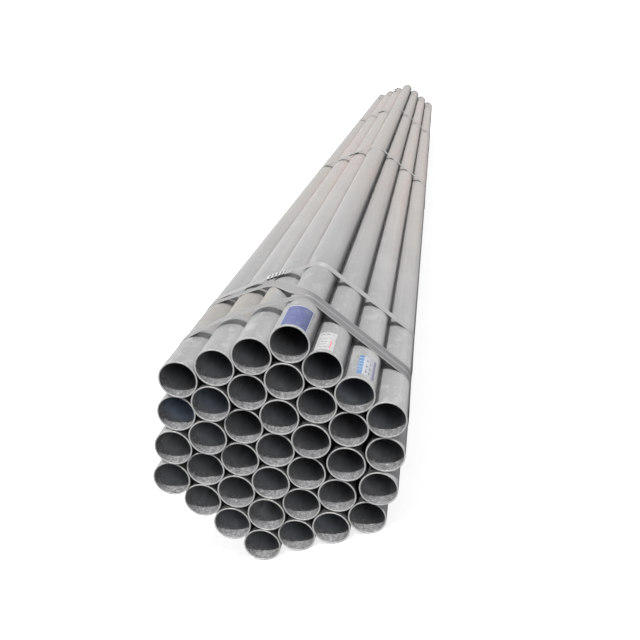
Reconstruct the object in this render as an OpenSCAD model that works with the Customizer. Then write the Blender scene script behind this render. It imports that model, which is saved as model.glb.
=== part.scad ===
// Six-sided bundle of galvanised steel tubes, held by seven crimped steel straps.
// The tubes lie along Y, their near ends at -Y. The origin is on the floor under the middle of the
// bundle, and z = 0 is the underside of the straps' bottom runs.

/* [Tubes] */
// Outside diameter of a tube
tube_d = 88.9; // [80:0.1:114.3]
// Wall thickness of a tube
wall = 3.2; // [2:0.1:5]
// Length of a tube
tube_l = 6000; // [5000:10:7200]
// Clearance between tubes that lie side by side
tube_gap = 0.3; // [0.2:0.05:1]
// Spread of the tube ends, which are never knocked quite flush
end_spread = 8; // [0:0.5:30]
// How far three tubes low on the right stand out of the pattern
bulge = 12; // [0:0.5:15]

/* [Straps] */
// Width of the steel strapping
strap_w = 28; // [19:1:38]
// Thickness of the steel strapping
strap_t = 0.9; // [0.6:0.05:1.1]
// Clearance between a strap and the tubes under it
strap_gap = 0.3; // [0.2:0.05:0.5]
// Middle of the first strap, from the near end
first_place = 158; // [130:1:160]
// Gap between the first strap and the second, which lies beside it
side_gap = 1.5; // [0.5:0.5:5]
// Middle of the third strap
third_place = 413; // [400:1:500]
// Middle of the fourth strap
fourth_place = 2240; // [1500:1:2500]
// Middle of the fifth strap
fifth_place = 3985; // [3000:1:4200]
// Middle of the seventh strap, from the far end
last_place = 158; // [100:1:300]
// Middle of the sixth strap, from the far end
sixth_place = 400; // [300:1:700]
// Gap between the third strap and the second, which runs askew along the top to lie beside it
skew_gap = 3; // [2.5:0.5:10]
// How far the first strap leans to the near end at the top left
first_lean = 22; // [0:1:30]
// How far the third and fourth straps lean to the near end at the top left
third_lean = 34; // [0:1:40]
// How high the first strap bows off the top
slack_bow = 12; // [0:0.5:15]
// How high the straps with their seals on top bow off it
seal_bow = 5; // [2.5:0.5:12]
// How far a strap's end runs on past its seal
strap_tail = 24; // [0:1:40]

/* [Seals] */
// Place of the seals on top, from the middle of the top left tube
seal_place = 168; // [60:1:200]
// Length of a crimped seal
seal_l = 48; // [38:1:50]
// Thickness of the seal's sheet
seal_t = 1; // [0.8:0.1:1.2]
// Clearance between the seal and the strap
seal_gap = 0.4; // [0.35:0.05:0.6]

/* [Labels] */
// Thickness of a paper label
label_t = 0.2; // [0.15:0.05:0.4]
// Length of the label on the top right tube
long_label = 104; // [60:1:110]
// Length of the other two labels
short_label = 86; // [50:1:95]

/* [Hidden] */
rows = 7;
middle = 3;                              // the row with the most tubes, counted from zero
pitch = tube_d + tube_gap;
row_rise = pitch * sqrt(3) / 2;
floor_lift = strap_t + strap_gap;
axis_z0 = floor_lift + tube_d / 2;       // height of the lowest row's axes
push = bulge * [cos(-30), sin(-30)];
turn_step = 6;                           // degrees between points round a bend
second_place = first_place + strap_w + side_gap;
second_skew = third_place - third_lean - skew_gap - strap_w - second_place;
strap_places = [
    first_place, second_place, third_place, fourth_place, fifth_place,
    tube_l - sixth_place, tube_l - last_place
];
straps = len(strap_places);
strap_names = ["strap_1", "strap_2", "strap_3", "strap_4", "strap_5", "strap_6", "strap_7"];
seal_names = ["seal_1", "seal_2", "seal_3", "seal_4", "seal_5", "seal_6", "seal_7"];
row_names = ["tube_row_1", "tube_row_2", "tube_row_3", "tube_row_4", "tube_row_5", "tube_row_6", "tube_row_7"];
label_names = ["label_1", "label_2", "label_3"];

// Rows are counted from the floor, and the tubes of a row from the left.
function row_count(r) = rows - abs(r - middle);
function tubes_below(r) = r == 0 ? 0 : tubes_below(r - 1) + row_count(r - 1);

// The two outer tubes in the lower right face, and the one behind them by less, stand out.
function stands_out(r, j) =
    (r == middle - 1 || r == middle - 2) && j == row_count(r) - 1 ? 1
    : r == middle - 1 && j == row_count(r) - 2 ? 0.65
    : 0;
function tube_at(r, j) =
    [(j - (row_count(r) - 1) / 2) * pitch, axis_z0 + r * row_rise] + stands_out(r, j) * push;

// Each tube is shifted along Y, and the shifts are centred so that the bundle stays centred.
tube_total = tubes_below(rows);
raw_shifts = rands(-end_spread / 2, end_spread / 2, tube_total, 11);
shift_centre = (max(raw_shifts) + min(raw_shifts)) / 2;
function tube_shift(r, j) = raw_shifts[tubes_below(r) + j] - shift_centre;

module tube(r, j) {
    at = tube_at(r, j);
    translate([at[0], tube_shift(r, j) + tube_l / 2, at[1]])
        rotate([90, 0, 0])
            difference() {
                cylinder(h = tube_l, d = tube_d, $fn = 64);
                translate([0, 0, -1])
                    cylinder(h = tube_l + 2, d = tube_d - 2 * wall, $fn = 64);
            }
}

module tube_row(r)
    color([0.62, 0.62, 0.61])
        for (j = [0 : row_count(r) - 1])
            tube(r, j);

// The strapping bends round these tubes, clockwise from the top right corner.
top = rows - 1;
side = row_count(top) - 1;               // steps from corner to corner along a side
bends = [
    tube_at(top, side), tube_at(middle, 2 * side), tube_at(middle - 1, 2 * side - 1),
    tube_at(middle - 2, 2 * side - 2), tube_at(0, side), tube_at(0, 0), tube_at(middle, 0), tube_at(top, 0)
];
function bend(i) = bends[(i + len(bends)) % len(bends)];
function normal_after(i) = let (d = bend(i + 1) - bend(i)) atan2(d[0], -d[1]);  // outward angle of a run
function turned(a, from) = a > from ? turned(a - 360, from) : a;

// A strap's skew is how far along Y it has moved at the top left, from where it is on the right. The
// shares are the part of the skew that it has at each bend, and it comes back between the bends under
// the bundle. The third and fourth straps have half of theirs already at the top right.
strap_skews = [-first_lean, second_skew, -third_lean, -third_lean, 0, 0, 0];
function bend_share(k, i) = [k == 2 || k == 3 ? 0.5 : 0, 0, 0, 0, 0, 0.5, 1, 1][i];

// The second strap goes askew round the top right bend. Its back edge starts a little ahead of its
// front edge, which keeps the strap's width on the slant.
skew_run = 1.7 * pitch;
skew_start = 0.28 * pitch;               // before the top of the bend
skew_lead = 0.65 * strap_w;
top_z = tube_at(top, 0)[1];
top_left = tube_at(top, 0)[0];
top_right = tube_at(top, side)[0];
function smooth(t) = let (c = min(max(t, 0), 1)) c * c * (3 - 2 * c);
function early_shares(past) =
    [smooth((past + skew_start) / skew_run), smooth((past + skew_start + skew_lead) / skew_run)];
function top_part(x) = min(max((x - top_left) / (top_right - top_left), 0), 1);
function top_shares(k, x) =
    let (share = bend_share(k, 0) + (1 - bend_share(k, 0)) * (1 - top_part(x)))
    k == 1 ? early_shares(top_right - x) : [share, share];

// Slack straps bow up between the two bends of the top.
strap_bows = [slack_bow, 0, seal_bow, seal_bow, seal_bow, seal_bow, seal_bow];
function bow_at(k, x) = strap_bows[k] * 4 * top_part(x) * (1 - top_part(x));

// A point of the strapping is its place across the bundle, the outward angle there, the shares of the
// skew that its front and back edges have, and its lift off the tubes.
function arc_past(angle) = -(90 - angle) * PI / 180 * tube_d / 2;
function bend_points(k, i) =
    let (first = normal_after(i - 1), last = turned(normal_after(i), first + 0.01),
         steps = ceil((first - last) / turn_step - 0.01), share = bend_share(k, i))
    [for (n = [0 : steps])
        let (angle = steps == 0 ? first : first + (last - first) * n / steps)
        [bend(i)[0], bend(i)[1], angle, k == 1 && i == 0 ? early_shares(arc_past(angle)) : [share, share], 0]];

// Points of the run after a bend, between two distances from it. The seals are on the last run, which
// is the top, or on the one before it, where the skew is whole.
top_run = len(bends) - 1;
function run_length(i) = norm(bend(i + 1) - bend(i));
function run_point(k, i, s) =
    let (p = bend(i) + (bend(i + 1) - bend(i)) * s / run_length(i))
    [p[0], p[1], normal_after(i), i == top_run ? top_shares(k, p[0]) : [1, 1], i == top_run ? bow_at(k, p[0]) : 0];
function run_points(k, i, s0, s1, n) = [for (m = [0 : n]) run_point(k, i, s0 + (s1 - s0) * m / n)];

// The first two straps have their seals on the upper left, over a valley. The others have theirs on top,
// where the bow leaves room for them.
function seal_run(k) = k < 2 ? top_run - 1 : top_run;
function seal_along(k) = k < 2 ? 1.5 * pitch : seal_place;

// The loop starts under the seal, runs clockwise round the bundle, and laps over its own start.
lap_gap = 0.15;                          // between the two layers under the seal
lap_margin = 4;                          // of lower layer that shows before the seal
lap_rise = 8;                            // length over which the lapped end climbs
lap_points = 10;                         // steps of the path on the lapped end
run_margin = 1;                          // of a run that is left to its bends
function loop_points(k) =
    let (run = seal_run(k), middle_s = seal_along(k), start = middle_s - seal_l / 2 - lap_margin)
    concat(
        run_points(k, run, start, run_length(run) - run_margin, 24),
        [for (n = [1 : len(bends)])
            let (i = (run + n) % len(bends))
            each concat(
                bend_points(k, i),
                i == top_run && i != run ? run_points(k, i, run_margin, run_length(i) - run_margin, 24) : []
            )],
        run_points(k, run, run_margin, start - lap_rise, 12),
        run_points(k, run, start - 2, middle_s + seal_l / 2 + strap_tail, lap_points)
    );

// One ring of the band: the four corners of its section.
function band_ring(p, front, back, lift) =
    let (low = tube_d / 2 + strap_gap + lift, high = low + strap_t)
    [for (e = [[low, front], [high, front], [high, back], [low, back]])
        [p[0] + e[0] * cos(p[2]), e[1], p[1] + e[0] * sin(p[2])]];

module band(k) {
    path = loop_points(k);
    last = len(path) - 1;
    front = strap_places[k] - tube_l / 2 - strap_w / 2;
    skew = strap_skews[k];
    rings = [for (i = [0 : last])
        let (p = path[i])
        band_ring(p, front + skew * p[3][0], front + strap_w + skew * p[3][1],
                  p[4] + (i >= last - lap_points ? strap_t + lap_gap : 0))];
    polyhedron(
        points = [for (r = rings) each r],
        faces = concat(
            [[0, 1, 2, 3]],
            [for (i = [0 : last - 1]) for (n = [0 : 3])
                [4 * i + n, 4 * i + 4 + n, 4 * i + 4 + (n + 1) % 4, 4 * i + (n + 1) % 4]],
            [[for (n = [3 : -1 : 0]) 4 * last + n]]
        ),
        convexity = 10
    );
}

module strap(k)
    color([0.5, 0.5, 0.5])
        band(k);

// A seal is a folded sheet round both layers of the strap, nicked twice along each edge.
module seal_body() {
    inner_w = strap_w + 2 * seal_gap;
    inner_h = 2 * strap_t + lap_gap + 2 * seal_gap;
    outer_w = inner_w + 2 * seal_t;
    outer_h = inner_h + 2 * seal_t;
    nick = 0.6 * seal_t;
    translate([0, 0, strap_t + lap_gap / 2])
        difference() {
            cube([seal_l, outer_w, outer_h], center = true);
            cube([seal_l + 2, inner_w, inner_h], center = true);
            for (x = [-seal_l / 5, seal_l / 5])
                for (side = [-1, 1])
                    translate([x, side * outer_w / 2, 0])
                        cube([5, 2 * nick, outer_h + 2], center = true);
        }
}

// The seal lies along its strap: at the lean of the run, the slope of the bow and the slant of the skew.
module seal(k) {
    run = seal_run(k);
    at = run_point(k, run, seal_along(k));
    ahead = run_point(k, run, seal_along(k) + 1);
    rise = ahead[4] - at[4];
    slant = strap_skews[k] * (ahead[3][0] - at[3][0]);
    lift = tube_d / 2 + strap_gap + at[4];
    color([0.42, 0.42, 0.43])
        translate([at[0] + lift * cos(at[2]),
                   strap_places[k] - tube_l / 2 + strap_skews[k] * at[3][0],
                   at[1] + lift * sin(at[2])])
            rotate([0, 90 - at[2] - atan(rise), 0])
                rotate([0, 0, atan(slant)])
                    seal_body();
}

// A label is a sheet bent round its tube: centred on an angle, and spanning part of the way round.
module label(r, j, from, length, angle, span) {
    at = tube_at(r, j);
    inner = tube_d / 2 + 0.05;
    translate([at[0], tube_shift(r, j) - tube_l / 2 + from + length, at[1]])
        rotate([90, 0, 0])
            rotate([0, 0, angle - span / 2])
                rotate_extrude(angle = span, $fn = 96)
                    translate([inner, 0])
                        square([label_t, length]);
}

module label_1() color([0.42, 0.4, 0.62]) label(6, 3, 5, long_label, 55, 83);
module label_2() color([0.72, 0.72, 0.72]) label(5, 4, 7, short_label, 67, 56);
module label_3() color([0.8, 0.8, 0.8]) label(4, 5, 18, short_label, 41, 54);

for (r = [0 : rows - 1])
    tube_row(r);
for (k = [0 : straps - 1])
    strap(k);
for (k = [0 : straps - 1])
    seal(k);
label_1();
label_2();
label_3();
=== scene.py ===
"""Bundle of galvanised steel tubes with steel strapping, crimped seals and paper labels.

Laid out as a Blender add-on and run as a script. The tubes lie along Y, with their labelled ends at -Y.
"""

import math
import random

import bmesh
import bpy
from mathutils import Euler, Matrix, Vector, noise


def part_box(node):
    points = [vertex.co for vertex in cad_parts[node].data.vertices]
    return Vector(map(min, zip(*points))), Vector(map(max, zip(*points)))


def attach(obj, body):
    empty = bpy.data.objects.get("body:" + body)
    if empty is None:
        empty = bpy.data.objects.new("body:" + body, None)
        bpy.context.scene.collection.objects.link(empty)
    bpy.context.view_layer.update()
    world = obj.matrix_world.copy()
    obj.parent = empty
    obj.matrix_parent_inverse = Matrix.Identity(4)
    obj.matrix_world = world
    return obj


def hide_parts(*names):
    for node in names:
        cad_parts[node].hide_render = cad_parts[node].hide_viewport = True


bl_info = {
    "name": "Steel Tube Bundle",
    "version": (1, 0, 0),
    "blender": (4, 5, 0),
    "location": "View3D > Sidebar > Tube Bundle",
    "description": "Dresses a strapped bundle of galvanised tubes",
    "category": "Object",
}

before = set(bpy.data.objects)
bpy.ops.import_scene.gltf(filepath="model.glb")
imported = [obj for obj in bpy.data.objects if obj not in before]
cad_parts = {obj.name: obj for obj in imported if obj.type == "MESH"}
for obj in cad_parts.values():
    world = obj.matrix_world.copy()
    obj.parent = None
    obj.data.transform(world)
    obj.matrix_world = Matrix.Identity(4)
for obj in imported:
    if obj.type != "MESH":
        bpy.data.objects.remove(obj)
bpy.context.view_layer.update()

MM = 0.001
BODY = "root"
ROWS = 7
STRAPS = 7
SIDE_BY_SIDE = (1, 2)  # dull straps with their seals out of sight, on the upper left side
STRAP_LEANS = {1: -1, 2: 1, 3: -1, 4: -1}  # which way a strap moves along Y at the top left; the others don't
STRAP_BOWS = {1: 12 * MM, 2: 0.0}  # how high a strap bows off the top
OTHER_BOW = 5 * MM  # of the straps not named there
SEAL_PLACE = 168 * MM  # of the seals on top, from the middle of the top left tube
SEAL_HALF = 24 * MM  # half a seal's length
SKY_TINTED_BORES = {(6, 1): 0.85, (6, 2): 0.45, (6, 5): 0.3}  # how strong the painted bluish sky reflection is inside a tube, by row and number
OUTSIDE, INSIDE, RIM = 0, 1, 2  # places of a tube's materials
GLINT_ANGLE, GLINT_SPREAD = math.radians(112), math.radians(10)  # of the painted highlight line along each top tube, where light glints at its edge
SHADE_FROM, SHADE_SPAN = 0.72, 0.25  # in tube radii, where the painted shade between the outer tubes begins and its reach
STEP_IN, END_REACH = 6 * MM, 0.5  # rings of corners near a tube's ends, and the farthest of them

CAMERA_PLACE = (0.6265, -4.3099, 0.9953)
CAMERA_TURN = (71.161, 21.077, 7.021)
CAMERA_SHIFT = (-0.05, -0.0375)


def smooth_step(t):
    t = min(max(t, 0.0), 1.0)
    return t * t * (3 - 2 * t)


# ---------------------------------------------------------------- places from the frame


class TubePlace:
    """Where one tube lies: its axis across the bundle, its two ends and its two radii."""

    def __init__(self, row, number, corners):
        self.row, self.number = row, number
        self.near = min(p.y for p in corners)
        self.far = max(p.y for p in corners)
        self.x = sum(p.x for p in corners) / len(corners)
        self.z = sum(p.z for p in corners) / len(corners)
        spokes = [math.hypot(p.x - self.x, p.z - self.z) for p in corners]
        self.outer, self.inner = max(spokes), min(spokes)

    @property
    def name(self):
        return f"tube_{self.row}_{self.number}"


def loose_parts(obj):
    """The corners of each loose part of a mesh, as lists of points."""
    bm = bmesh.new()
    bm.from_mesh(obj.data)
    bmesh.ops.remove_doubles(bm, verts=bm.verts, dist=0.01 * MM)
    unseen = set(bm.verts)
    parts = []
    while unseen:
        todo = [unseen.pop()]
        part = []
        while todo:
            v = todo.pop()
            part.append(v.co.copy())
            for edge in v.link_edges:
                other = edge.other_vert(v)
                if other in unseen:
                    unseen.remove(other)
                    todo.append(other)
        parts.append(part)
    bm.free()
    return parts


def find_tubes():
    """Every tube's place, from the lowest row up and from left to right."""
    places = []
    for row in range(1, ROWS + 1):
        parts = loose_parts(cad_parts[f"tube_row_{row}"])
        parts.sort(key=lambda part: sum(p.x for p in part) / len(part))
        places += [TubePlace(row, k + 1, part) for k, part in enumerate(parts)]
    return places


TUBES = find_tubes()
OUTER = TUBES[0].outer
PITCH = TUBES[1].x - TUBES[0].x
TOP_RIGHT = max(t.x for t in TUBES if t.row == ROWS)
TOP_LEFT = min(t.x for t in TUBES if t.row == ROWS)
NEAR_Y = min(t.near for t in TUBES)


def tube_at(row, number):
    """The place of one tube; a negative number counts from the right."""
    in_row = [t for t in TUBES if t.row == row]
    return in_row[number - 1 if number > 0 else number]


def bundle_bends():
    """The tubes that the strapping bends round, clockwise from the top right one."""
    points = sorted((t.x, t.z) for t in TUBES)

    def chain(ordered):
        kept = []
        for p in ordered:
            while len(kept) > 1 and turn(kept[-2], kept[-1], p) >= -1e-7:
                kept.pop()
            kept.append(p)
        return kept[:-1]

    def turn(a, b, c):
        return (b[0] - a[0]) * (c[1] - a[1]) - (b[1] - a[1]) * (c[0] - a[0])

    loop = chain(points) + chain(points[::-1])
    start = max(range(len(loop)), key=lambda k: loop[k][0] + 100 * loop[k][1])
    return loop[start:] + loop[:start]


BENDS = bundle_bends()


def buried(x, z):
    """How far a point lies inside the bundle's outline, in tube radii: 0 on the outline."""
    depths = []
    for (x0, z0), (x1, z1) in zip(BENDS, BENDS[1:] + BENDS[:1]):
        run = math.hypot(x1 - x0, z1 - z0)
        outward = ((x - x0) * (z0 - z1) + (z - z0) * (x1 - x0)) / run
        depths.append(1 - outward / OUTER)
    return min(depths)


# ---------------------------------------------------------------- settings


def length(name, default, description, top=1.0):
    return bpy.props.FloatProperty(
        name=name, description=description, default=default, min=0.0, max=top, precision=5, subtype="DISTANCE"
    )


def amount(name, default, description, low=0.0, top=1.0):
    return bpy.props.FloatProperty(name=name, description=description, default=default, min=low, max=top)


def colour(name, default, description):
    return bpy.props.FloatVectorProperty(
        name=name, description=description, default=default, size=3, min=0.0, max=1.0, subtype="COLOR"
    )


class TubeSettings(bpy.types.PropertyGroup):
    """Shape and finish of the galvanised tubes."""

    sides: bpy.props.IntProperty(name="Sides", description="Faces round a tube", default=88, min=24, max=160)
    edge: length("Cut edge", 0.35 * MM, "Size of the broken edge at each cut end")
    bead_height: length("Bead height", 0.9 * MM, "Height of the weld bead inside a tube")
    bead_width: length("Bead width", 3.2 * MM, "Width of the weld bead inside a tube")
    zinc: colour("Zinc", (0.327, 0.329, 0.333), "Clean zinc on the outside")
    dust: colour("Dust", (0.377, 0.336, 0.304), "Dry dust that has settled on the tubes")
    pink_dust: colour("Pink dust", (0.390, 0.325, 0.305), "Dust where it is redder")
    dirt: colour("Dirt", (0.225, 0.208, 0.19), "Dried mud between the first straps")
    inside: colour("Inside", (0.30, 0.306, 0.32), "Dull zinc inside, away from the ends")
    # A bluish tint painted inside the tubes, standing in for reflected sky.
    sky_reflection: colour("Painted sky tint", (0.44, 0.54, 0.68), "Bluish zinc inside a few tubes")
    mouth: colour("Mouth", (0.27, 0.272, 0.28), "Rough bright zinc just inside the ends")
    rim: colour("Rim", (0.88, 0.885, 0.88), "Sawn steel of the cut ends")


class StrapSettings(bpy.types.PropertyGroup):
    """Shape and finish of the strapping and its seals."""

    thickness: length("Thickness", 0.9 * MM, "Thickness of the strapping")
    ripple: length("Ripple", 0.13 * MM, "Height of the ripples along a strap")
    crown: length("Crown", 0.12 * MM, "How much higher the middle of the band is than its edges")
    steel: colour("Steel", (0.235, 0.235, 0.24), "Rolled strapping steel")
    bright: colour("Bright", (0.45, 0.45, 0.445), "Bright straps and worn edges")
    # The top tone is painted on the straps' upward faces, for how light falls on their tops.
    painted_top_tone: colour("Painted top tone", (0.245, 0.24, 0.235), "Straps where dust lies on top")
    # The seal colour is painted near black, standing in for the shade at a seal's sides and beneath it.
    seal: colour("Seal", (0.045, 0.045, 0.047), "Blacked sheet steel of the seals")
    tail: length("Tail", 24 * MM, "How far a strap's end runs on past its seal")


class LabelSettings(bpy.types.PropertyGroup):
    """Colours of the blank paper labels."""

    violet: colour("Violet", (0.075, 0.087, 0.187), "Ground of the violet label")
    edge: colour("Edge", (0.46, 0.47, 0.52), "Thin bare border of the violet label")
    pale: colour("Pale", (0.30, 0.31, 0.36), "Bare paper across the blue band")
    grey: colour("Grey", (0.34, 0.34, 0.345), "Ground of the pale label")
    mark: colour("Mark", (0.14, 0.14, 0.155), "Small plain blocks on the pale and white labels")
    red: colour("Red", (0.55, 0.12, 0.14), "Small block on the pale label")
    white: colour("White", (0.325, 0.335, 0.365), "Ground of the white label")
    lilac: colour("Lilac", (0.2, 0.185, 0.30), "Band along the white label's right edge")
    blue: colour("Blue", (0.055, 0.15, 0.285), "Band along the white label's left edge")


class StageSettings(bpy.types.PropertyGroup):
    """Light and camera."""

    sun: amount("Sun", 4.7, "Strength of the sun", top=20.0)
    sun_softness: amount("Sun softness", 1.6, "Angle of the sun's disc, in degrees", top=90.0)
    sky: amount("Sky", 0.66, "Strength of the even light from overhead", top=5.0)
    ground: amount("Ground", 0.08, "Strength of the even light from below", top=5.0)
    front: amount("Front", 0.1, "Strength of the even light from in front", top=5.0)
    front_sun: amount("Front sun", 0.8, "Strength of the soft light into the tube ends", top=10.0)
    back: amount("Back", 0.4, "Strength of the even light from behind", top=5.0)
    back_sun: amount("Back sun", 0.45, "Strength of the broad light from behind on the left", top=10.0)
    fill: amount("Fill", 0.65, "Strength of the broad light from the right", top=10.0)
    lens: amount("Lens", 39.5, "Focal length in millimetres", low=10.0, top=200.0)


# ---------------------------------------------------------------- node helpers


MIX_A, MIX_B, MIX_RESULT = 6, 7, 2  # the colour sockets of a mix node, which share their names with others


class Nodes:
    """A small helper that adds and links the nodes of one material."""

    def __init__(self, name):
        self.material = bpy.data.materials.new(name)
        self.material.use_nodes = True
        self.tree = self.material.node_tree
        self.shader = self.tree.nodes["Principled BSDF"]
        self.places = self.add("ShaderNodeTexCoord").outputs["Object"]

    def add(self, kind, **values):
        node = self.tree.nodes.new(kind)
        for key, value in values.items():
            setattr(node, key, value)
        return node

    def put(self, value, socket):
        """Links an output to a socket, or sets the socket to a plain value."""
        if isinstance(value, bpy.types.NodeSocket):
            self.tree.links.new(value, socket)
        elif hasattr(value, "__len__") and len(value) == 3 and socket.type == "RGBA":
            socket.default_value = (*value, 1.0)
        else:
            socket.default_value = value

    def stretched(self, scale, source=None):
        """Coordinates scaled by a different amount along each axis."""
        mapping = self.add("ShaderNodeMapping")
        self.put(source or self.places, mapping.inputs["Vector"])
        self.put(scale, mapping.inputs["Scale"])
        return mapping.outputs["Vector"]

    def noise(self, scale, source=None, detail=3.0, rough=0.55, distortion=0.0):
        """Noise from 0 to 1; scale is one number, or three for streaks."""
        node = self.add("ShaderNodeTexNoise")
        if isinstance(scale, tuple):
            self.put(self.stretched(scale, source), node.inputs["Vector"])
            scale = 1.0
        else:
            self.put(source or self.places, node.inputs["Vector"])
        numbers = {"Scale": scale, "Detail": detail, "Roughness": rough, "Distortion": distortion}
        for key, value in numbers.items():
            node.inputs[key].default_value = value
        return node.outputs["Fac"]

    def band(self, value, low, high, to_low=0.0, to_high=1.0, smooth=True):
        """value from low to high becomes to_low to to_high, held at both ends."""
        node = self.add("ShaderNodeMapRange", interpolation_type="SMOOTHSTEP" if smooth else "LINEAR")
        numbers = {"Value": value, "From Min": low, "From Max": high, "To Min": to_low, "To Max": to_high}
        for key, number in numbers.items():
            self.put(number, node.inputs[key])
        return node.outputs["Result"]

    def maths(self, operation, a, b=0.0):
        node = self.add("ShaderNodeMath", operation=operation)
        self.put(a, node.inputs[0])
        self.put(b, node.inputs[1])
        return node.outputs[0]

    def times(self, *values):
        result = values[0]
        for value in values[1:]:
            result = self.maths("MULTIPLY", result, value)
        return result

    def mix(self, share, a, b):
        """Colour a, with a share of b."""
        node = self.add("ShaderNodeMix", data_type="RGBA")
        self.put(share, node.inputs["Factor"])
        self.put(a, node.inputs[MIX_A])
        self.put(b, node.inputs[MIX_B])
        return node.outputs[MIX_RESULT]

    def axis(self, source, letter):
        node = self.add("ShaderNodeSeparateXYZ")
        self.put(source, node.inputs[0])
        return node.outputs[letter]

    def attribute(self, name, output="Fac"):
        return self.add("ShaderNodeAttribute", attribute_name=name).outputs[output]

    def upward(self, low=-0.2, high=0.8):
        """How far the surface faces up."""
        return self.band(self.axis(self.add("ShaderNodeNewGeometry").outputs["Normal"], "Z"), low, high)

    def bump(self, height, depth, strength):
        node = self.add("ShaderNodeBump")
        self.put(height, node.inputs["Height"])
        node.inputs["Distance"].default_value = depth
        node.inputs["Strength"].default_value = strength
        return node.outputs["Normal"]

    def finish(self, **sockets):
        """Sets the shader's sockets, whose names have spaces where these have underscores."""
        for key, value in sockets.items():
            self.put(value, self.shader.inputs[key.replace("_", " ")])
        return self.material


# ---------------------------------------------------------------- finishes


# The first colour is a painted highlight along the top tubes; the second is painted shade between the outer tubes.
PAINTED_GLINT, PAINTED_SHADE = (0.49, 0.435, 0.41), (0.02, 0.02, 0.021)
# The first colour is a painted highlight on a seal's top; the second is bare steel at its cut ends and painted
# glints at its crimps.
SEAL_TOP_HIGHLIGHT, SEAL_BARE_AND_GLINT = (0.62, 0.62, 0.61), (0.8, 0.8, 0.78)
STAIN = (0.35, 0.35, 0.36)
PALE_FLOOR, FLOOR_MOTTLE = (0.4, 0.4, 0.4), (0.38, 0.38, 0.38)


def shade(ground, share):
    """A colour made darker, or lighter up to white."""
    return tuple(min(1.0, c * share) for c in ground)


def outside_zinc(look):
    """Dull hot-dip zinc: lengthwise streaks and scratches, grime near the ends, dust further back, dried mud,
    painted shade on undersides and between the outer tubes, and a painted highlight line along the top tubes.
    """
    n = Nodes("galvanised_outside")
    along = n.axis(n.places, "Y")

    def from_end(low, high, to_low=0.0, to_high=1.0):
        """A share that changes between two distances from the labelled end."""
        return n.band(along, NEAR_Y + low, NEAR_Y + high, to_low, to_high)

    tone = n.attribute("tone")
    streaks = n.noise((150.0, 1.3, 150.0), detail=4.0)
    fine = n.noise((520.0, 5.0, 520.0), detail=2.0)
    scratches = n.noise((230.0, 0.55, 230.0), detail=1.0)
    blotches = n.noise(7.0, detail=5.0, rough=0.6)
    mottle = n.noise((42.0, 24.0, 42.0), detail=6.0, rough=0.65)
    specks = n.noise(260.0, detail=2.0)
    zinc, dark = look.zinc, shade(look.zinc, 0.63)
    base = n.mix(n.band(streaks, 0.35, 0.7, 0.0, 0.5), zinc, shade(zinc, 0.84))
    base = n.mix(n.band(blotches, 0.42, 0.72, 0.0, 0.45), base, shade(zinc, 1.14))
    dust = n.times(
        from_end(0.25, 1.9, 0.08, 0.95),
        n.band(n.noise((14.0, 1.8, 14.0), detail=4.0), 0.25, 0.75, 0.5, 1.0),
    )
    pink = n.band(n.noise((9.0, 0.7, 9.0), detail=2.0), 0.42, 0.6)
    base = n.mix(dust, base, n.mix(pink, look.dust, look.pink_dust))
    grime = n.times(
        from_end(0.35, 0.8, 1.0, 0.58),
        n.upward(0.5, 0.98),
        n.band(mottle, 0.25, 0.75, 0.55, 1.0),
    )
    base = n.mix(n.times(grime, 0.92), base, dark)
    worn = n.times(from_end(0.1, 0.7, 1.0, 0.3), n.band(mottle, 0.5, 0.62, 0.0, 0.45))
    base = n.mix(worn, base, shade(zinc, 1.3))
    pits = n.times(
        from_end(0.02, 0.5, 1.0, 0.15),
        n.band(n.noise(330.0, detail=3.0), 0.6, 0.68, 0.0, 0.6),
    )
    base = n.mix(pits, base, shade(zinc, 0.45))
    base = n.mix(n.band(fine, 0.52, 0.74, 0.0, 0.3), base, shade(zinc, 0.66))
    scratched = n.times(n.band(scratches, 0.64, 0.7, 0.0, 0.1), from_end(0.35, 0.6))
    base = n.mix(scratched, base, shade(look.dust, 1.5))
    mud_place = n.times(
        from_end(0.175, 0.215),
        from_end(0.33, 0.41, 1.0, 0.0),
        n.band(n.axis(n.places, "X"), 0.45 * PITCH, 0.8 * PITCH, 1.0, 0.0),
        n.upward(0.0, 0.75),
    )
    crust = n.noise((85.0, 45.0, 85.0), detail=8.0, rough=0.78, distortion=0.3)
    mud = n.times(mud_place, n.band(crust, 0.36, 0.56, 0.25, 0.85))
    base = n.mix(mud, base, n.mix(n.band(crust, 0.45, 0.62), look.dirt, shade(look.dirt, 1.3)))
    # Painted highlight: a light line along each top tube, where light glints at the edge between tubes.
    painted_highlight = n.times(
        n.attribute("glint_line"),
        from_end(0.42, 0.5),
        n.band(streaks, 0.35, 0.6, 0.15, 0.7),
    )
    base = n.mix(painted_highlight, base, PAINTED_GLINT)
    base = n.mix(n.band(tone, 0.0, 1.0, 0.0, 0.22, smooth=False), base, dark)
    # Painted shade: faces turned downwards are darker.
    base = n.mix(n.upward(0.02, -0.35), base, shade(zinc, 0.28))
    height = n.maths("ADD", n.times(specks, 0.3), n.times(streaks, 0.7))
    return n.finish(
        # Painted shade: deep darkens the outsides between the outer tubes, where shade falls.
        Base_Color=n.mix(n.times(n.attribute("deep"), 0.9), base, PAINTED_SHADE),
        Roughness=n.maths("ADD", n.band(blotches, 0.3, 0.7, 0.48, 0.6), n.times(mud, 0.3)),
        Diffuse_Roughness=1.0,
        Metallic=0.3,
        Normal=n.bump(height, 0.35 * MM, 0.5),
    )


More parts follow.
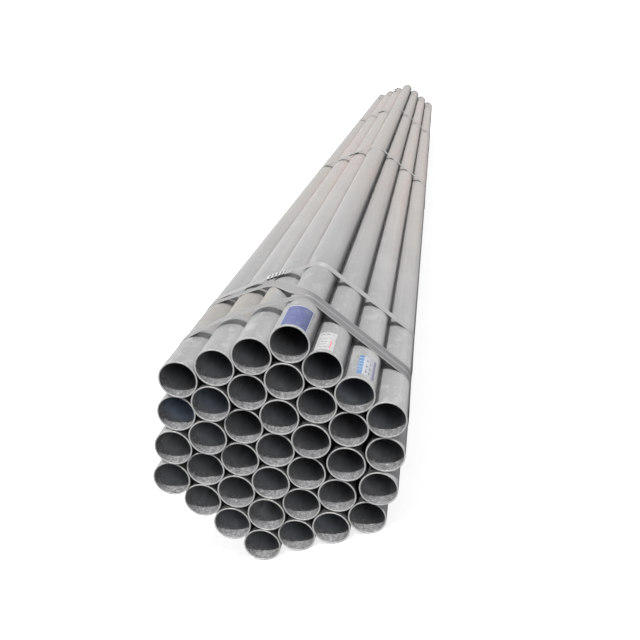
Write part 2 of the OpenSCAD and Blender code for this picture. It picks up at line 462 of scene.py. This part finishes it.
def inside_zinc(look):
    """Rough grainy zinc, bright by the mouth and dull further in, with a few pale scuffs and a painted bluish sky
    reflection in the bores.
    """
    n = Nodes("galvanised_inside")
    depth = n.attribute("depth")
    grain = n.noise(170.0, detail=7.0, rough=0.78)
    runs = n.noise((60.0, 14.0, 60.0), detail=4.0, distortion=0.8)
    mouth = n.mix(n.band(runs, 0.35, 0.7, 0.0, 0.7), look.mouth, shade(look.mouth, 0.62))
    mouth = n.mix(n.band(grain, 0.5, 0.64, 0.0, 0.9), mouth, shade(look.mouth, 2.1))
    mouth = n.mix(n.band(grain, 0.47, 0.36, 0.0, 0.8), mouth, shade(look.mouth, 0.4))
    deep = n.mix(n.band(runs, 0.3, 0.75, 0.0, 0.6), look.inside, shade(look.inside, 1.7))
    deep = n.mix(n.times(n.band(grain, 0.58, 0.68), n.band(runs, 0.45, 0.7), 0.8), deep, shade(look.inside, 3.0))
    # Painted reflection: a bluish tint of sky inside the tubes.
    deep = n.mix(n.attribute("sky_tint"), deep, look.sky_reflection)
    deep = n.mix(n.band(n.attribute("tone"), 0.0, 1.0, 0.0, 0.6, smooth=False), deep, shade(look.inside, 0.35))
    wander = n.times(n.maths("SUBTRACT", runs, 0.5), 0.012)
    reach = n.band(n.maths("ADD", depth, wander), 0.02, 0.055)
    return n.finish(
        Base_Color=n.mix(reach, mouth, deep),
        Roughness=n.band(grain, 0.3, 0.8, 0.32, 0.6),
        Metallic=0.35,
        Normal=n.bump(n.maths("ADD", grain, runs), 0.7 * MM, 0.7),
    )


def sawn_rim(look):
    """Sawn steel with fine saw lines and a few dull spots."""
    n = Nodes("sawn_rim")
    lines = n.noise((900.0, 30.0, 60.0), detail=2.0)
    spots = n.noise(90.0, detail=4.0)
    base = n.mix(n.band(spots, 0.45, 0.7, 0.0, 0.5), look.rim, shade(look.rim, 0.6))
    return n.finish(
        Base_Color=n.mix(n.band(lines, 0.4, 0.7, 0.0, 0.4), base, shade(look.rim, 0.75)),
        Roughness=0.42,
        Metallic=0.55,
        Normal=n.bump(lines, 0.1 * MM, 0.5),
    )


def strap_steel(look, name, ground):
    """Rolled strip: fine lengthwise lines, dull patches and rubbed edges."""
    n = Nodes(name)
    strip = n.attribute("strip", "Vector")
    lines = n.noise((2.2, 700.0, 1.0), strip, detail=3.0)
    patches = n.noise((9.0, 30.0, 1.0), strip, detail=4.0)
    edge = n.attribute("edge")
    base = n.mix(n.band(lines, 0.35, 0.7, 0.0, 0.5), ground, shade(ground, 0.68))
    base = n.mix(n.band(patches, 0.5, 0.75, 0.0, 0.5), base, shade(ground, 0.72))
    base = n.mix(n.times(n.band(edge, 0.6, 1.0), 0.75), base, look.bright)
    # Painted light: upward faces get their own tone, for how light falls on the straps' tops.
    base = n.mix(n.times(n.upward(0.8, 1.0), 0.7), base, look.painted_top_tone)
    return n.finish(
        Base_Color=base,
        Roughness=n.band(patches, 0.3, 0.7, 0.38, 0.56),
        Metallic=0.45,
        Normal=n.bump(lines, 0.08 * MM, 0.6),
    )


def seal_steel(look):
    """Sheet steel painted near black as the shade at the seal's sides and beneath it, with a painted highlight on
    its top, bare steel at its cut ends and painted glints at its crimps.
    """
    n = Nodes("seal_steel")
    wear = n.noise(160.0, detail=4.0)
    edge = n.attribute("edge")
    base = n.mix(n.band(wear, 0.4, 0.7, 0.0, 0.6), look.seal, shade(look.seal, 0.5))
    # Painted highlight: the seal's upward faces are lighter, away from its crimps.
    painted_highlight = n.times(
        n.upward(0.85, 0.99),
        n.band(n.attribute("press"), 0.05, 0.5, 1.0, 0.0),
        n.band(wear, 0.4, 0.55, 0.3, 1.0),
    )
    base = n.mix(painted_highlight, base, SEAL_TOP_HIGHLIGHT)
    return n.finish(
        # Bare steel at the cut ends, and painted glints at the crimps.
        Base_Color=n.mix(n.times(edge, n.band(wear, 0.42, 0.58), 0.5), base, SEAL_BARE_AND_GLINT),
        Roughness=0.42,
        Metallic=0.3,
        Normal=n.bump(wear, 0.15 * MM, 0.5),
    )


def label_paper(name, ground, blocks, speckle, border=None):
    """Blank printed paper: a ground with plain blocks of colour, rubbed, stained and a little speckled.

    Each block is a colour and its spans round the tube and along it, from 0 to 1. A border is the colour of
    the bare paper at the edges.
    """
    n = Nodes(name)
    sheet = n.attribute("sheet", "Vector")
    u, v = n.axis(sheet, "X"), n.axis(sheet, "Y")
    stains = n.noise(60.0, detail=5.0, rough=0.65)
    rubs = n.noise((300.0, 190.0, 300.0), detail=4.0, rough=0.6)

    def inside(u0, u1, v0, v1, soft=0.012):
        return n.times(
            n.band(u, u0 - soft, u0 + soft), n.band(u, u1 - soft, u1 + soft, 1.0, 0.0),
            n.band(v, v0 - soft, v0 + soft), n.band(v, v1 - soft, v1 + soft, 1.0, 0.0),
        )

    base = ground if border is None else n.mix(inside(0.02, 0.955, 0.0, 0.975), border, ground)
    for block, across, along in blocks:
        base = n.mix(inside(*across, *along), base, block)
    base = n.mix(n.band(stains, 0.48, 0.75, 0.0, 0.25), base, STAIN)
    base = n.mix(n.band(rubs, 0.52, 0.64, 0.0, speckle), base, shade(ground, 0.45))
    base = n.mix(n.band(rubs, 0.46, 0.34, 0.0, 0.6 * speckle), base, shade(ground, 1.7))
    return n.finish(Base_Color=base, Roughness=0.62, Normal=n.bump(stains, 0.12 * MM, 0.4))


def floor_paint():
    """Plain pale floor with the faintest mottle, and a glow of its own that keeps shadows on it light."""
    n = Nodes("pale_floor")
    return n.finish(
        Base_Color=n.mix(n.band(n.noise(3.0), 0.3, 0.7), PALE_FLOOR, FLOOR_MOTTLE),
        Roughness=0.9,
        Emission_Color=(1.0, 1.0, 1.0, 1.0),
        Emission_Strength=0.78,
    )


# ---------------------------------------------------------------- meshes


def new_piece(name, bm, materials, stands_for):
    """Makes an object of a finished bmesh, hung on the bundle's one body."""
    mesh = bpy.data.meshes.new(name)
    bm.to_mesh(mesh)
    bm.free()
    obj = bpy.data.objects.new(name, mesh)
    bpy.context.scene.collection.objects.link(obj)
    for material in materials:
        mesh.materials.append(material)
    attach(obj, BODY)
    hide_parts(*stands_for)
    return obj


def skin(bm, rings):
    """Smooth faces between each ring of corners and the next."""
    count = len(rings[0])
    for a, b in zip(rings, rings[1:]):
        for k in range(count):
            bm.faces.new((a[k], a[(k + 1) % count], b[(k + 1) % count], b[k])).smooth = True


def sharpen(bm, degrees):
    """Turns every face outwards and marks each edge that bends more than this as sharp."""
    bmesh.ops.recalc_face_normals(bm, faces=bm.faces)
    for edge in bm.edges:
        if len(edge.link_faces) == 2 and edge.calc_face_angle(0) > math.radians(degrees):
            edge.smooth = False


def angle_steps(sides, centre, width, extra):
    """Angles round a tube, with extra ones close together over a narrow bead."""
    steps = {round(2 * math.pi * k / sides, 6) for k in range(sides)}
    for k in range(-extra, extra + 1):
        steps.add(round((centre + width * k / extra) % (2 * math.pi), 6))
    ordered = sorted(steps)
    least = 0.35 * 2 * width / (2 * extra)
    return [a for k, a in enumerate(ordered) if k == 0 or a - ordered[k - 1] > least]


def tube_stations(place, look):
    """The wall's outline from the near end, round the outside and back inside.

    Each station is its radius, its place along Y and the finish of the face after it.
    """
    edge, cut = look.edge, 0.3 * look.edge
    out, inn, near, far = place.outer, place.inner, place.near, place.far
    outside = (near + edge, near + STEP_IN, near + END_REACH, far - END_REACH, far - STEP_IN)
    inside = (far - edge, far - STEP_IN, far - END_REACH)
    inside += (near + END_REACH, near + 0.15, near + 0.05, near + STEP_IN)
    return [
        (out - edge, near, RIM),
        (out - cut, near + cut, RIM),
        *((out, y, OUTSIDE) for y in outside),
        (out, far - edge, RIM),
        (out - cut, far - cut, RIM),
        (out - edge, far, RIM),
        (inn + edge, far, RIM),
        (inn + cut, far - cut, RIM),
        *((inn, y, INSIDE) for y in inside),
        (inn, near + edge, RIM),
        (inn + cut, near + cut, RIM),
        (inn + edge, near, RIM),
    ]


def build_tube(place, look, materials, draw):
    """One welded tube: rounded cut edges, and a low weld bead along the inside."""
    bead_at = draw.uniform(0, 2 * math.pi)
    bead_half = look.bead_width / place.inner / 2
    angles = angle_steps(look.sides, bead_at, 2 * bead_half, 4)
    stations = tube_stations(place, look)
    bm = bmesh.new()
    tone, deep, glint_line, sky_tint, depth = (
        bm.verts.layers.float.new(name) for name in ("tone", "deep", "glint_line", "sky_tint", "depth")
    )
    # A bluish tint painted inside every tube as reflected sky, strongest in the tubes named at the top.
    tone_here, sky_tint_here = draw.random(), max(0.25 * draw.random(), SKY_TINTED_BORES.get((place.row, place.number), 0.0))
    in_top_row = place.row == ROWS
    rings = []
    for radius, y, _ in stations:
        ring = []
        for angle in angles:
            r = radius
            if radius < place.outer - 2 * MM:
                off = (angle - bead_at + math.pi) % (2 * math.pi) - math.pi
                r -= look.bead_height * math.exp(-((off / bead_half) ** 2))
            v = bm.verts.new((place.x + r * math.cos(angle), y, place.z + r * math.sin(angle)))
            v[tone], v[sky_tint] = tone_here, sky_tint_here
            # deep holds painted shade between the outer tubes; the open tops of the top row get none.
            open_above = in_top_row and math.sin(angle) > 0 and place is not TUBES[-1]
            v[deep] = 0.0 if open_above else smooth_step((buried(v.co.x, v.co.z) - SHADE_FROM) / SHADE_SPAN)
            # Marks the painted highlight line along each top tube.
            v[glint_line] = max(0.0, 1 - abs(angle - GLINT_ANGLE) / GLINT_SPREAD) if in_top_row else 0.0
            v[depth] = min(y - place.near, place.far - y)
            ring.append(v)
        rings.append(ring)
    count = len(angles)
    for i, (_, _, finish) in enumerate(stations):
        a, b = rings[i], rings[(i + 1) % len(rings)]
        for k in range(count):
            face = bm.faces.new((a[k], a[(k + 1) % count], b[(k + 1) % count], b[k]))
            face.material_index = finish
            face.smooth = finish != RIM
    bmesh.ops.recalc_face_normals(bm, faces=bm.faces)
    for edge in bm.edges:
        kinds = {f.material_index for f in edge.link_faces}
        edge.smooth = not (RIM in kinds and len(kinds) > 1)
    return new_piece(place.name, bm, materials, [f"tube_row_{place.row}"])


def strap_width():
    """Taken from a strap that runs square round the bundle."""
    low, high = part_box(f"strap_{STRAPS}")
    return high.y - low.y


class StrapRoute:
    """The way one strap runs: clockwise from its seal round the bends, and lapped over its own start.

    A strap that leans has moved along Y at the top left, by its skew, from where it is on the right.
    """

    lap_gap = 0.15 * MM  # between a strap's two layers
    lap_margin, lap_rise = 4 * MM, 8 * MM  # the lower layer's start before its seal, and the gap before that
    run_margin = 1 * MM
    run_step, lap_step = 14 * MM, 7 * MM  # between rings of corners
    settle = 0.25 * MM  # how far a strap lies below its clearance, which leaves room for its ripples and crown

    def __init__(self, number, look, width):
        low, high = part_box(f"strap_{number}")
        self.number, self.look, self.width = number, look, width
        self.gap = min(t.z for t in TUBES) - OUTER - look.thickness
        self.skew = (high.y - low.y - width) * STRAP_LEANS.get(number, 0)
        self.front = low.y if self.skew >= 0 else high.y - width
        self.bow = STRAP_BOWS.get(number, OTHER_BOW)
        self.normals = [self.normal_after(i) for i in range(len(BENDS))]
        self.top_run = len(BENDS) - 1
        self.seal_run = self.top_run - 1 if number in SIDE_BY_SIDE else self.top_run
        self.seal_along = 1.5 * PITCH if number in SIDE_BY_SIDE else SEAL_PLACE

    def bend(self, i):
        return BENDS[i % len(BENDS)]

    def normal_after(self, i):
        (x0, z0), (x1, z1) = self.bend(i), self.bend(i + 1)
        return math.atan2(x1 - x0, -(z1 - z0))

    def bend_share(self, i):
        """Share of the skew at a bend; straps 3 and 4 lean at the top right too."""
        first = 0.5 if self.number in (3, 4) else 0
        return (first, 0, 0, 0, 0, 0.5, 1, 1)[i % len(BENDS)]

    def early_shares(self, past):
        """Shares of the second strap's skew at its front and back edges, a distance past the top right bend."""
        run, early, lead = 1.7 * PITCH, 0.28 * PITCH, 0.65 * self.width
        return smooth_step((past + early) / run), smooth_step((past + early + lead) / run)

    def top_part(self, x):
        return min(max((x - TOP_LEFT) / (TOP_RIGHT - TOP_LEFT), 0.0), 1.0)

    def top_shares(self, x):
        if self.number == 2:
            return self.early_shares(TOP_RIGHT - x)
        share = self.bend_share(0) + (1 - self.bend_share(0)) * (1 - self.top_part(x))
        return share, share

    def bow_at(self, x):
        return self.bow * 4 * self.top_part(x) * (1 - self.top_part(x))

    def run_length(self, i):
        (x0, z0), (x1, z1) = self.bend(i), self.bend(i + 1)
        return math.hypot(x1 - x0, z1 - z0)

    def run_point(self, i, along):
        """(x, z, outward angle, shares, lift) on the run after a bend."""
        i %= len(BENDS)
        (x0, z0), (x1, z1) = self.bend(i), self.bend(i + 1)
        t = along / self.run_length(i)
        x, z = x0 + (x1 - x0) * t, z0 + (z1 - z0) * t
        if i == self.top_run:
            return x, z, self.normals[i], self.top_shares(x), self.bow_at(x)
        share = self.bend_share(i) + (self.bend_share(i + 1) - self.bend_share(i)) * t
        return x, z, self.normals[i], (share, share), 0.0

    def run_points(self, i, start, end, step=run_step):
        n = max(2, math.ceil(abs(end - start) / step))
        return [self.run_point(i, start + (end - start) * k / n) for k in range(n + 1)]

    def bend_points(self, i):
        first, last = self.normals[i - 1], self.normals[i]
        while last > first + 0.001:
            last -= 2 * math.pi
        n = max(1, math.ceil((first - last) / math.radians(3)))
        points = []
        for k in range(n + 1):
            angle = first + (last - first) * k / n
            if self.number == 2 and i == 0:
                shares = self.early_shares(-(math.pi / 2 - angle) * OUTER)
            else:
                shares = (self.bend_share(i),) * 2
            points.append((*self.bend(i), angle, shares, 0.0))
        return points

    def points(self):
        """Every point of the loop, each with its layer: 0, or 1 on the lapped end."""
        run, count = self.seal_run, len(BENDS)
        start = self.seal_along - SEAL_HALF - self.lap_margin
        route = self.run_points(run, start, self.run_length(run) - self.run_margin)
        for n in range(1, count + 1):
            i = (run + n) % count
            route += self.bend_points(i)
            if i != run:
                route += self.run_points(i, self.run_margin, self.run_length(i) - self.run_margin)
        route += self.run_points(run, self.run_margin, start - self.lap_rise)
        end = self.seal_along + SEAL_HALF + self.look.tail
        lapped = self.run_points(run, start - 2 * MM, end, self.lap_step)
        return [(p, 0) for p in route] + [(p, 1) for p in lapped]


def build_strap(number, look, width, materials):
    """One strap: a rolled band with a slight crown and ripples, lapped over its own start."""
    route = StrapRoute(number, look, width)
    bm = bmesh.new()
    strip = bm.verts.layers.float_vector.new("strip")
    edge = bm.verts.layers.float.new("edge")
    across = (-0.5, -0.48, -0.4, -0.2, 0.0, 0.2, 0.4, 0.48, 0.5)
    rings = []
    travelled = 0.0
    last = None
    for (x, z, angle, (share_front, share_back), lift), layer in route.points():
        if last is not None:
            travelled += math.hypot(x - last[0], z - last[1]) + abs(angle - last[2]) * OUTER
        last = (x, z, angle)
        front = route.front + route.skew * share_front
        back = route.front + width + route.skew * share_back
        free = 0.0 if math.sin(angle) < -0.9 or layer else 1.0
        wave = noise.noise(Vector((travelled * 14, number * 7.3, 0.0)))
        level = OUTER + route.gap + lift + layer * (look.thickness + route.lap_gap) - free * route.settle
        rise = free * look.ripple * (0.5 + 0.5 * wave)
        ring = []
        for side in (1, -1):
            for t in across if side > 0 else across[::-1]:
                crown = free * look.crown * (1 - (2 * t) ** 2)
                taper = 0.28 * look.thickness if abs(t) == 0.5 else 0.0
                r = level + rise + crown + (look.thickness - taper if side > 0 else taper)
                y = front + (back - front) * (t + 0.5)
                v = bm.verts.new((x + r * math.cos(angle), y, z + r * math.sin(angle)))
                v[strip] = (travelled, t * width, number)
                v[edge] = abs(t) * 2
                ring.append(v)
        rings.append(ring)
    skin(bm, rings)
    bm.faces.new(rings[0])
    bm.faces.new(rings[-1][::-1])
    sharpen(bm, 35)
    return new_piece(f"strapping_{number}", bm, materials, [f"strap_{number}"])


def seal_section(half_w, half_h, sheet, lip):
    """The folded sheet's outline, open between the two lips on top: outer points, then inner ones back."""
    corner = 0.9 * MM
    cut = 0.25 * corner
    outer = [
        (-lip, half_h), (-half_w / 2, half_h), (-half_w + corner, half_h), (-half_w + cut, half_h - cut),
        (-half_w, half_h - corner), (-half_w, -half_h + corner), (-half_w + cut, -half_h + cut),
        (-half_w + corner, -half_h), (-half_w / 2, -half_h), (0.0, -half_h),
    ]
    outer += [(-y, z) for y, z in outer[-2::-1]]

    def held(value, limit):
        return max(-limit, min(limit, value))

    return outer, [(held(y, half_w - sheet), held(z, half_h - sheet)) for y, z in outer]


CRIMPS = (-0.66, -0.24, 0.24, 0.66)  # their places, as shares of a seal's half length
CRIMP_WIDTH, CRIMP_DEPTH = 1.9 * MM, 0.45 * MM
PUFF, FLARE = 0.3 * MM, 0.35 * MM  # how far the sheet swells between crimps and opens at its ends


def build_seal(number, look, width, materials):
    """One crimped seal: a folded sheet whose lips meet on top, pressed in at four places along each edge."""
    route = StrapRoute(number, look, width)
    x0, z0, angle, (share, _), bowed = route.run_point(route.seal_run, route.seal_along)
    _, _, _, (share_ahead, _), bowed_ahead = route.run_point(route.seal_run, route.seal_along + MM)
    rise = (bowed_ahead - bowed) / MM
    slant = route.skew * (share_ahead - share) / MM
    upright = Euler((0, math.pi / 2 - angle - math.atan(rise), 0)).to_matrix()
    turn = upright @ Euler((0, 0, math.atan(slant))).to_matrix()
    level = OUTER + route.gap + bowed + look.thickness + route.lap_gap / 2
    centre = Vector((
        x0 + level * math.cos(angle),
        route.front + width / 2 + route.skew * share,
        z0 + level * math.sin(angle),
    ))
    room, sheet, lip = 0.4 * MM, 1.0 * MM, 0.8 * MM
    half_w = width / 2 + room + sheet
    half_h = look.thickness + route.lap_gap / 2 + room + sheet
    outer, inner = seal_section(half_w, half_h, sheet, lip)
    section = outer + inner[::-1]
    bm = bmesh.new()
    edge = bm.verts.layers.float.new("edge")
    press = bm.verts.layers.float.new("press")
    stations = 41
    rings = []
    for k in range(stations):
        x = -SEAL_HALF + 2 * SEAL_HALF * k / (stations - 1)
        nick = min(1.0, sum(math.exp(-(((x - c * SEAL_HALF) / CRIMP_WIDTH) ** 2)) for c in CRIMPS))
        flare = FLARE * smooth_step((abs(x) / SEAL_HALF - 0.9) / 0.1)
        ring = []
        for y, z in section:
            by_edge = smooth_step((abs(y) / half_w - 0.55) / 0.45)
            dent = CRIMP_DEPTH * nick * by_edge
            puff = PUFF * (1 - nick) * by_edge - 0.6 * dent
            height = z + puff + flare if z > 0 else z - puff
            v = bm.verts.new(centre + turn @ Vector((x, y - math.copysign(dent, y), height)))
            # edge marks bare steel at the cut ends and the painted glints at the crimps.
            v[edge] = 1.0 if k in (0, stations - 1) else 0.9 * nick * by_edge
            v[press] = nick
            ring.append(v)
        rings.append(ring)
    skin(bm, rings)
    for ring in (rings[0], rings[-1]):
        for k in range(len(outer) - 1):
            bm.faces.new((ring[k], ring[k + 1], ring[-2 - k], ring[-1 - k]))
    sharpen(bm, 40)
    return new_piece(f"crimped_{number}", bm, materials, [f"seal_{number}"])


def build_label(number, place, material, draw):
    """One paper label bent round its tube, with faint wrinkles and one corner just lifting."""
    low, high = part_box(f"label_{number}")
    corners = [v.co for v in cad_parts[f"label_{number}"].data.vertices]
    angles = [math.atan2(p.z - place.z, p.x - place.x) for p in corners]
    first, last = min(angles), max(angles)
    bm = bmesh.new()
    sheet = bm.verts.layers.float_vector.new("sheet")
    across, lengthwise = 40, 36
    glue_gap, paper, wrinkles, corner_lift = 0.1 * MM, 0.12 * MM, 0.12 * MM, 0.8 * MM
    phase = draw.uniform(0, 50)
    grid = []
    for i in range(across + 1):
        u = i / across
        angle = last + (first - last) * u
        line = []
        for j in range(lengthwise + 1):
            v = j / lengthwise
            wrinkle = wrinkles * abs(noise.noise(Vector((u * 5 + phase, v * 9, 0))))
            corner = corner_lift * smooth_step((u - 0.82) / 0.18) * smooth_step((v - 0.82) / 0.18)
            r = place.outer + glue_gap + wrinkle + corner
            y = low.y + (high.y - low.y) * v
            vert = bm.verts.new((place.x + r * math.cos(angle), y, place.z + r * math.sin(angle)))
            vert[sheet] = (u, v, 0.0)
            line.append(vert)
        grid.append(line)
    for a, b in zip(grid, grid[1:]):
        for j in range(lengthwise):
            bm.faces.new((a[j], a[j + 1], b[j + 1], b[j])).smooth = True
    bmesh.ops.recalc_face_normals(bm, faces=bm.faces)
    bm.faces.ensure_lookup_table()
    middle = bm.faces[0].calc_center_median()
    if bm.faces[0].normal.dot(Vector((middle.x - place.x, 0, middle.z - place.z))) < 0:
        bmesh.ops.reverse_faces(bm, faces=bm.faces)
    obj = new_piece(f"paper_{number}", bm, [material], [f"label_{number}"])
    solid = obj.modifiers.new("Thickness", "SOLIDIFY")
    solid.thickness = paper
    solid.offset = 1.0
    return obj


def studio_light(stage):
    """Soft light, brightest overhead and with a share from in front, before a white backdrop."""
    world = bpy.data.worlds.new("studio")
    world.use_nodes = True
    tree = world.node_tree
    light, out = tree.nodes["Background"], tree.nodes["World Output"]
    place = tree.nodes.new("ShaderNodeTexCoord")
    way = tree.nodes.new("ShaderNodeSeparateXYZ")
    overhead, front, back = (tree.nodes.new("ShaderNodeMapRange") for _ in range(3))
    for ramp, numbers in (
        (overhead, (0.0, 0.85, stage.ground, stage.sky)),
        (front, (-0.25, -1.0, 0.0, stage.front)),
        (back, (0.1, 0.8, 0.0, stage.back)),
    ):
        for key, value in zip(("From Min", "From Max", "To Min", "To Max"), numbers):
            ramp.inputs[key].default_value = value
    ends, total = tree.nodes.new("ShaderNodeMath"), tree.nodes.new("ShaderNodeMath")
    backdrop = tree.nodes.new("ShaderNodeBackground")
    backdrop.inputs["Strength"].default_value = 1.05
    backdrop.inputs["Color"].default_value = (1.0, 1.0, 1.0, 1.0)
    light.inputs["Color"].default_value = (0.97, 0.985, 1.0, 1.0)
    ray = tree.nodes.new("ShaderNodeLightPath")
    mix = tree.nodes.new("ShaderNodeMixShader")
    for a, b in (
        (place.outputs["Generated"], way.inputs[0]),
        (way.outputs["Z"], overhead.inputs["Value"]),
        (way.outputs["Y"], front.inputs["Value"]),
        (way.outputs["Y"], back.inputs["Value"]),
        (front.outputs["Result"], ends.inputs[0]),
        (back.outputs["Result"], ends.inputs[1]),
        (overhead.outputs["Result"], total.inputs[0]),
        (ends.outputs[0], total.inputs[1]),
        (total.outputs[0], light.inputs["Strength"]),
        (ray.outputs["Is Camera Ray"], mix.inputs[0]),
        (light.outputs[0], mix.inputs[1]),
        (backdrop.outputs[0], mix.inputs[2]),
        (mix.outputs[0], out.inputs["Surface"]),
    ):
        tree.links.new(a, b)
    return world


# ---------------------------------------------------------------- operators


def settings(context):
    return context.scene.tube_bundle_settings


class BUNDLE_OT_stage(bpy.types.Operator):
    """Sets up the pale floor, the even light, the soft sun and the camera"""

    bl_idname = "bundle.stage"
    bl_label = "Stage and Camera"

    def execute(self, context):
        stage = settings(context).stage
        scene = context.scene
        bm = bmesh.new()
        bmesh.ops.create_grid(bm, x_segments=1, y_segments=1, size=60.0)
        mesh = bpy.data.meshes.new("floor")
        bm.to_mesh(mesh)
        bm.free()
        mesh.materials.append(floor_paint())
        floor = bpy.data.objects.new("floor", mesh)
        floor.location.z = -0.3 * MM
        floor.visible_diffuse = floor.visible_glossy = False
        scene.collection.objects.link(floor)

        scene.world = studio_light(stage)

        for name, energy, degrees, tint, heading in (
            ("sun", stage.sun, stage.sun_softness, (1.0, 0.985, 0.96), (-0.12, 0.33, -0.91)),
            ("back", stage.back_sun, 60.0, (0.96, 0.98, 1.0), (0.70, -0.58, -0.42)),
            ("front", stage.front_sun, 25.0, (0.98, 0.99, 1.0), (-0.62, 0.68, -0.40)),
            ("fill", stage.fill, 45.0, (0.96, 0.98, 1.0), (-0.52, 0.12, -0.80)),
        ):
            lamp = bpy.data.lights.new(name, "SUN")
            lamp.energy, lamp.angle, lamp.color = energy, math.radians(degrees), tint
            light = bpy.data.objects.new(name, lamp)
            light.rotation_euler = Vector(heading).to_track_quat("-Z", "Y").to_euler()
            scene.collection.objects.link(light)

        camera_data = bpy.data.cameras.new("camera")
        camera_data.lens = stage.lens
        camera_data.shift_x, camera_data.shift_y = CAMERA_SHIFT
        camera_data.clip_end = 200.0
        camera = bpy.data.objects.new("camera", camera_data)
        camera.location = CAMERA_PLACE
        camera.rotation_euler = [math.radians(a) for a in CAMERA_TURN]
        scene.collection.objects.link(camera)
        scene.camera = camera
        scene.view_settings.view_transform = "Standard"
        return {"FINISHED"}


class BUNDLE_OT_tubes(bpy.types.Operator):
    """Builds every galvanised tube in place of its row"""

    bl_idname = "bundle.tubes"
    bl_label = "Galvanised Tubes"

    def execute(self, context):
        look = settings(context).tubes
        materials = [outside_zinc(look), inside_zinc(look), sawn_rim(look)]
        draw = random.Random(5)
        for place in TUBES:
            build_tube(place, look, materials, draw)
        return {"FINISHED"}


class BUNDLE_OT_straps(bpy.types.Operator):
    """Builds the seven straps"""

    bl_idname = "bundle.straps"
    bl_label = "Steel Straps"

    def execute(self, context):
        look = settings(context).straps
        dull = strap_steel(look, "strap_dull", look.steel)
        bright = strap_steel(look, "strap_bright", look.bright)
        for number in range(1, STRAPS + 1):
            build_strap(number, look, strap_width(), [dull if number in SIDE_BY_SIDE else bright])
        return {"FINISHED"}


class BUNDLE_OT_seals(bpy.types.Operator):
    """Builds the crimped seals"""

    bl_idname = "bundle.seals"
    bl_label = "Crimped Seals"

    def execute(self, context):
        look = settings(context).straps
        material = seal_steel(look)
        for number in range(1, STRAPS + 1):
            build_seal(number, look, strap_width(), [material])
        return {"FINISHED"}


class BUNDLE_OT_labels(bpy.types.Operator):
    """Builds the three blank paper labels"""

    bl_idname = "bundle.labels"
    bl_label = "Paper Labels"

    def execute(self, context):
        look = settings(context).labels
        draw = random.Random(9)
        left, right = (-0.1, 0.27), (0.86, 1.1)  # spans round the tube that run off the label's edge
        full = (-0.1, 1.1)
        rows = [(look.mark, (0.12, 0.58), (at, at + 0.025)) for at in (0.14, 0.29, 0.44, 0.59)]
        heads = [(look.mark, (at, at + 0.16), (0.84, 0.91)) for at in (0.2, 0.45)]
        stripes = [(look.pale, left, (at, at + 0.03)) for at in (0.2, 0.36, 0.52, 0.68, 0.84)]
        marks = [(look.mark, (0.42, 0.52), (at, at + 0.1)) for at in (0.14, 0.42, 0.72)]
        marks += [(look.mark, (0.62, 0.68), (at, at + 0.14)) for at in (0.1, 0.33, 0.6)]
        on_grey = [*rows, *heads, (look.red, (0.74, 0.8), (0.1, 0.55))]
        on_white = [(look.blue, left, full), *stripes, (look.lilac, right, full), *marks]
        kinds = [
            (tube_at(7, -1), "violet_paper", look.violet, [], 0.5, look.edge),
            (tube_at(6, -1), "grey_paper", look.grey, on_grey, 0.5, None),
            (tube_at(5, -1), "white_paper", look.white, on_white, 0.4, None),
        ]
        for number, (place, slot_name, ground, blocks, speckle, border) in enumerate(kinds, 1):
            material = label_paper(slot_name, ground, blocks, speckle, border)
            build_label(number, place, material, draw)
        return {"FINISHED"}


class BundleSettings(bpy.types.PropertyGroup):
    """All settings of the bundle."""

    tubes: bpy.props.PointerProperty(type=TubeSettings)
    straps: bpy.props.PointerProperty(type=StrapSettings)
    labels: bpy.props.PointerProperty(type=LabelSettings)
    stage: bpy.props.PointerProperty(type=StageSettings)


class BUNDLE_PT_panel(bpy.types.Panel):
    """Sidebar panel with the bundle's operators"""

    bl_idname = "BUNDLE_PT_panel"
    bl_label = "Tube Bundle"
    bl_space_type = "VIEW_3D"
    bl_region_type = "UI"
    bl_category = "Tube Bundle"

    def draw(self, context):
        for operator in OPERATORS:
            self.layout.operator(operator.bl_idname)


OPERATORS = (BUNDLE_OT_stage, BUNDLE_OT_tubes, BUNDLE_OT_straps, BUNDLE_OT_seals, BUNDLE_OT_labels)
GROUPS = (TubeSettings, StrapSettings, LabelSettings, StageSettings, BundleSettings)


def register():
    for cls in (*GROUPS, *OPERATORS, BUNDLE_PT_panel):
        bpy.utils.register_class(cls)
    bpy.types.Scene.tube_bundle_settings = bpy.props.PointerProperty(type=BundleSettings)


def unregister():
    del bpy.types.Scene.tube_bundle_settings
    for cls in reversed((*GROUPS, *OPERATORS, BUNDLE_PT_panel)):
        bpy.utils.unregister_class(cls)


def main():
    register()
    bpy.ops.bundle.stage()
    bpy.ops.bundle.tubes()
    bpy.ops.bundle.straps()
    bpy.ops.bundle.seals()
    bpy.ops.bundle.labels()


if __name__ == "__main__":
    main()
